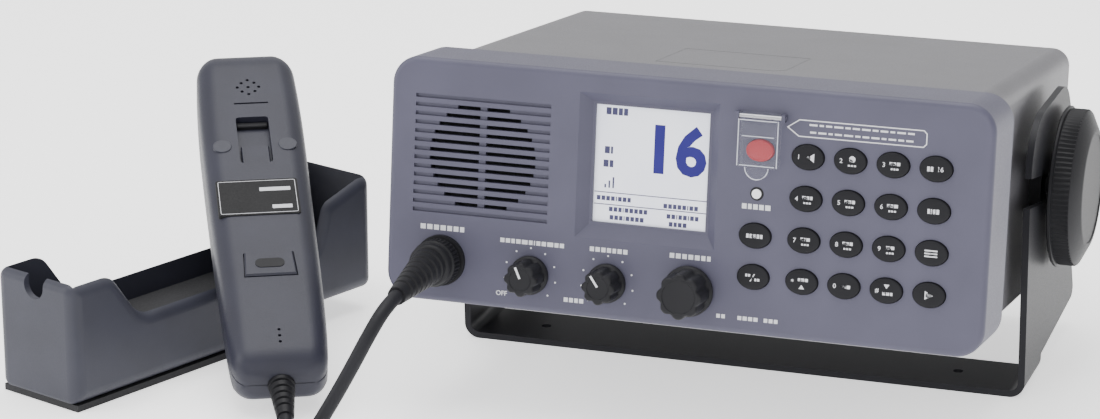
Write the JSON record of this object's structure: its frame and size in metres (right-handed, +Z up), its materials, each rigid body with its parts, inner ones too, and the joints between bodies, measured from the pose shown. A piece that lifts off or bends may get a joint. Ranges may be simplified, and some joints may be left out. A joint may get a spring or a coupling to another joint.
{
  "type": "marine vhf radiotelephone",
  "caption": "Marine VHF radio in a U mounting bracket with clamp knobs, display, keypad, three knobs, and a corded handset beside its cradle",
  "frame": {"origin": "middle of the bracket's base strip, on the table plane, half way between its two screw holes", "axes": "+X to the radio's right as its user sees it, +Y to the back, +Z up; the panel faces -Y"},
  "size_m": [0.4468, 0.4083, 0.1549],
  "materials": {
    "panel_grey": "fine textured paint over moulded plastic",
    "case_grey": "textured powder coat",
    "bracket_grey": "textured powder coat",
    "black_plastic": "smooth matte plastic",
    "key_rubber": "silicone rubber",
    "red_rubber": "red moulded cap",
    "clear_cover": "clear polycarbonate",
    "lcd": "display window",
    "module": "display module",
    "board_green": "solder mask",
    "steel": "stainless steel",
    "aluminium": "bare aluminium",
    "brass": "threaded brass",
    "lamp": "diffusing lens",
    "handset_grey": "fine textured plastic",
    "cradle_grey": "fine textured plastic",
    "cord_rubber": "smooth cable jacket",
    "foot_rubber": "rubber foot",
    "speaker_black": "treated paper and pressed steel"
  },
  "bodies": {
    "bracket_and_cradle": {"bracket": "bracket_grey", "cradle_shell": "cradle_grey", "cradle_foot": "foot_rubber", "cradle_pad": "foot_rubber", "cord_plug_run": "cord_rubber", "cord_handset_run": "cord_rubber", "cord_coil": "cord_rubber"},
    "radio_unit": {"front_panel": "panel_grey", "cover_hinge_pin": "steel", "keypad_mat": "key_rubber", "control_board": "board_green", "alarm_lamp": "lamp", "display_window": "lcd", "display_module": "module", "speaker": "speaker_black", "volume_and_squelch_controls": "steel", "channel_encoder": "steel", "handset_socket": "black_plastic", "case_cover": "case_grey", "case_tray": "case_grey", "rear_heatsink": "aluminium", "main_board": "board_green", "antenna_socket": "brass", "power_socket": "black_plastic", "case_screws": "steel", "clamp_bosses": "brass", "handset_plug": "black_plastic", "plug_strain_relief": "black_plastic"},
    "distress_cover": {"distress_cover": "clear_cover"},
    "distress_key": {"distress_key": "red_rubber"},
    "volume_knob": {"volume_knob": "black_plastic"},
    "squelch_knob": {"squelch_knob": "black_plastic"},
    "channel_rotor": {"channel_rotor": "steel"},
    "channel_knob": {"channel_knob": "black_plastic"},
    "clamp_knob_left": {"clamp_knob_left": "black_plastic"},
    "clamp_knob_right": {"clamp_knob_right": "black_plastic"},
    "handset": {"handset_inner_shell": "handset_grey", "handset_outer_shell": "handset_grey", "earpiece_capsule": "speaker_black", "microphone_capsule": "speaker_black", "handset_strain_relief": "cord_rubber"},
    "talk_button": {"talk_button": "black_plastic"},
    "key_1": {"key_1": "key_rubber"},
    "key_2": {"key_2": "key_rubber"},
    "key_3": {"key_3": "key_rubber"},
    "key_channel": {"key_channel": "key_rubber"},
    "key_4": {"key_4": "key_rubber"},
    "key_5": {"key_5": "key_rubber"},
    "key_6": {"key_6": "key_rubber"},
    "key_file": {"key_file": "key_rubber"},
    "key_7": {"key_7": "key_rubber"},
    "key_8": {"key_8": "key_rubber"},
    "key_9": {"key_9": "key_rubber"},
    "key_menu": {"key_menu": "key_rubber"},
    "key_star": {"key_star": "key_rubber"},
    "key_0": {"key_0": "key_rubber"},
    "key_hash": {"key_hash": "key_rubber"},
    "key_enter": {"key_enter": "key_rubber"},
    "key_cancel": {"key_cancel": "key_rubber"},
    "key_call": {"key_call": "key_rubber"}
  },
  "joints": [
    {"name": "radio_tilt", "type": "hinge", "parent": "bracket_and_cradle", "child": "radio_unit", "pos_m": [0, 0.034, 0.083], "axis": [1, 0, 0], "range_deg": [-15, 15], "deforming": ["cord_plug_run"]},
    {"name": "clamp_left_turn", "type": "hinge", "parent": "radio_unit", "child": "clamp_knob_left", "pos_m": [-0.1309, 0.034, 0.083], "axis": [-1, 0, 0], "continuous": true},
    {"name": "clamp_right_turn", "type": "hinge", "parent": "radio_unit", "child": "clamp_knob_right", "pos_m": [0.1309, 0.034, 0.083], "axis": [1, 0, 0], "continuous": true},
    {"name": "key_1_press", "type": "slide", "parent": "radio_unit", "child": "key_1", "axis": [0, 0.9925, -0.1219], "range_m": [0, 0.001], "stiffness_N_per_m": 900, "springref_m": -0.0006},
    {"name": "key_2_press", "type": "slide", "parent": "radio_unit", "child": "key_2", "axis": [0, 0.9925, -0.1219], "range_m": [0, 0.001], "stiffness_N_per_m": 900, "springref_m": -0.0006},
    {"name": "key_3_press", "type": "slide", "parent": "radio_unit", "child": "key_3", "axis": [0, 0.9925, -0.1219], "range_m": [0, 0.001], "stiffness_N_per_m": 900, "springref_m": -0.0006},
    {"name": "key_channel_press", "type": "slide", "parent": "radio_unit", "child": "key_channel", "axis": [0, 0.9925, -0.1219], "range_m": [0, 0.001], "stiffness_N_per_m": 900, "springref_m": -0.0006},
    {"name": "key_4_press", "type": "slide", "parent": "radio_unit", "child": "key_4", "axis": [0, 0.9925, -0.1219], "range_m": [0, 0.001], "stiffness_N_per_m": 900, "springref_m": -0.0006},
    {"name": "key_5_press", "type": "slide", "parent": "radio_unit", "child": "key_5", "axis": [0, 0.9925, -0.1219], "range_m": [0, 0.001], "stiffness_N_per_m": 900, "springref_m": -0.0006},
    {"name": "key_6_press", "type": "slide", "parent": "radio_unit", "child": "key_6", "axis": [0, 0.9925, -0.1219], "range_m": [0, 0.001], "stiffness_N_per_m": 900, "springref_m": -0.0006},
    {"name": "key_file_press", "type": "slide", "parent": "radio_unit", "child": "key_file", "axis": [0, 0.9925, -0.1219], "range_m": [0, 0.001], "stiffness_N_per_m": 900, "springref_m": -0.0006},
    {"name": "key_7_press", "type": "slide", "parent": "radio_unit", "child": "key_7", "axis": [0, 0.9925, -0.1219], "range_m": [0, 0.001], "stiffness_N_per_m": 900, "springref_m": -0.0006},
    {"name": "key_8_press", "type": "slide", "parent": "radio_unit", "child": "key_8", "axis": [0, 0.9925, -0.1219], "range_m": [0, 0.001], "stiffness_N_per_m": 900, "springref_m": -0.0006},
    {"name": "key_9_press", "type": "slide", "parent": "radio_unit", "child": "key_9", "axis": [0, 0.9925, -0.1219], "range_m": [0, 0.001], "stiffness_N_per_m": 900, "springref_m": -0.0006},
    {"name": "key_menu_press", "type": "slide", "parent": "radio_unit", "child": "key_menu", "axis": [0, 0.9925, -0.1219], "range_m": [0, 0.001], "stiffness_N_per_m": 900, "springref_m": -0.0006},
    {"name": "key_star_press", "type": "slide", "parent": "radio_unit", "child": "key_star", "axis": [0, 0.9925, -0.1219], "range_m": [0, 0.001], "stiffness_N_per_m": 900, "springref_m": -0.0006},
    {"name": "key_0_press", "type": "slide", "parent": "radio_unit", "child": "key_0", "axis": [0, 0.9925, -0.1219], "range_m": [0, 0.001], "stiffness_N_per_m": 900, "springref_m": -0.0006},
    {"name": "key_hash_press", "type": "slide", "parent": "radio_unit", "child": "key_hash", "axis": [0, 0.9925, -0.1219], "range_m": [0, 0.001], "stiffness_N_per_m": 900, "springref_m": -0.0006},
    {"name": "key_enter_press", "type": "slide", "parent": "radio_unit", "child": "key_enter", "axis": [0, 0.9925, -0.1219], "range_m": [0, 0.001], "stiffness_N_per_m": 900, "springref_m": -0.0006},
    {"name": "key_cancel_press", "type": "slide", "parent": "radio_unit", "child": "key_cancel", "axis": [0, 0.9925, -0.1219], "range_m": [0, 0.001], "stiffness_N_per_m": 900, "springref_m": -0.0006},
    {"name": "key_call_press", "type": "slide", "parent": "radio_unit", "child": "key_call", "axis": [0, 0.9925, -0.1219], "range_m": [0, 0.001], "stiffness_N_per_m": 900, "springref_m": -0.0006},
    {"name": "distress_key_press", "type": "slide", "parent": "radio_unit", "child": "distress_key", "axis": [0, 0.9925, -0.1219], "range_m": [0, 0.0015], "stiffness_N_per_m": 900, "springref_m": -0.0006},
    {"name": "distress_cover_flip", "type": "hinge", "parent": "radio_unit", "child": "distress_cover", "pos_m": [0.0331, -0.10593, 0.143], "axis": [-1, 0, 0], "range_deg": [0, 115], "stiffness_Nm_per_rad": 0.0008, "springref_deg": -20.05},
    {"name": "volume_knob_turn", "type": "hinge", "parent": "radio_unit", "child": "volume_knob", "pos_m": [-0.0656, -0.11909, 0.06704], "axis": [0, 0.9925, -0.1219], "range_deg": [-150, 150]},
    {"name": "squelch_knob_turn", "type": "hinge", "parent": "radio_unit", "child": "squelch_knob", "pos_m": [-0.0311, -0.11909, 0.06704], "axis": [0, 0.9925, -0.1219], "range_deg": [-150, 150]},
    {"name": "channel_turn", "type": "hinge", "parent": "radio_unit", "child": "channel_rotor", "pos_m": [0.0053, -0.11901, 0.06763], "axis": [0, 0.9925, -0.1219], "continuous": true},
    {"name": "channel_push", "type": "slide", "parent": "channel_rotor", "child": "channel_knob", "axis": [0, 0.9925, -0.1219], "range_m": [0, 0.0012], "stiffness_N_per_m": 900, "springref_m": -0.0006},
    {"name": "handset_lift", "type": "slide", "parent": "bracket_and_cradle", "child": "handset", "axis": [0, 0, 1], "range_m": [0, 0.25], "deforming": ["cord_handset_run"]},
    {"name": "talk_press", "type": "slide", "parent": "handset", "child": "talk_button", "axis": [-0.1949, 0.3696, -0.9085], "range_m": [0, 0.0012], "stiffness_N_per_m": 900, "springref_m": -0.0006}
  ]
}
